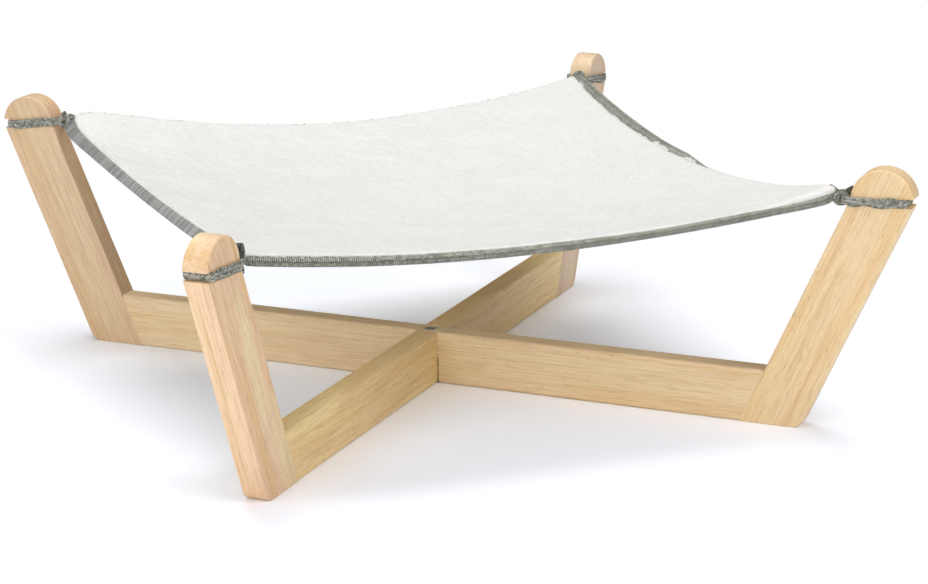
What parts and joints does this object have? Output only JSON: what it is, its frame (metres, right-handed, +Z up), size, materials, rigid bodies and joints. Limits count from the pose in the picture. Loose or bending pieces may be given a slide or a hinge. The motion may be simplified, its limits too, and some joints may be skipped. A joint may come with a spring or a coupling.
{
  "type": "cat hammock",
  "caption": "Low pet hammock: crossed wooden rails with leaning round-topped legs carry a square fleece sling tied at its corners.",
  "frame": {"origin": "on the floor, under the crossing of the two rails", "axes": "+Z up, +X to the right along the front edge of the sling, +Y to the back; the rails lie on the diagonals"},
  "size_m": [0.5262, 0.5262, 0.1934],
  "materials": {
    "rubberwood": "satin lacquer, fine straight grain",
    "dowel_wood": "plain beech",
    "steel": "bright zinc plated",
    "brass": "plain",
    "fleece": "off-white short pile",
    "canvas": "plain weave",
    "tape": "ribbed grey-green braid"
  },
  "bodies": {
    "root": {"rail_lower": "rubberwood", "rail_upper": "rubberwood", "leg_front_right": "rubberwood", "leg_back_right": "rubberwood", "leg_back_left": "rubberwood", "leg_front_left": "rubberwood", "dowel_front_right_low": "dowel_wood", "dowel_front_right_high": "dowel_wood", "dowel_back_right_low": "dowel_wood", "dowel_back_right_high": "dowel_wood", "dowel_back_left_low": "dowel_wood", "dowel_back_left_high": "dowel_wood", "dowel_front_left_low": "dowel_wood", "dowel_front_left_high": "dowel_wood", "centre_bolt": "steel", "threaded_insert": "brass", "fleece_top": "fleece", "canvas_underside": "canvas", "edge_binding_front": "tape", "edge_binding_right": "tape", "edge_binding_back": "tape", "edge_binding_left": "tape", "corner_tie_front_right": "tape", "corner_tie_back_right": "tape", "corner_tie_back_left": "tape", "corner_tie_front_left": "tape"}
  },
  "joints": []
}
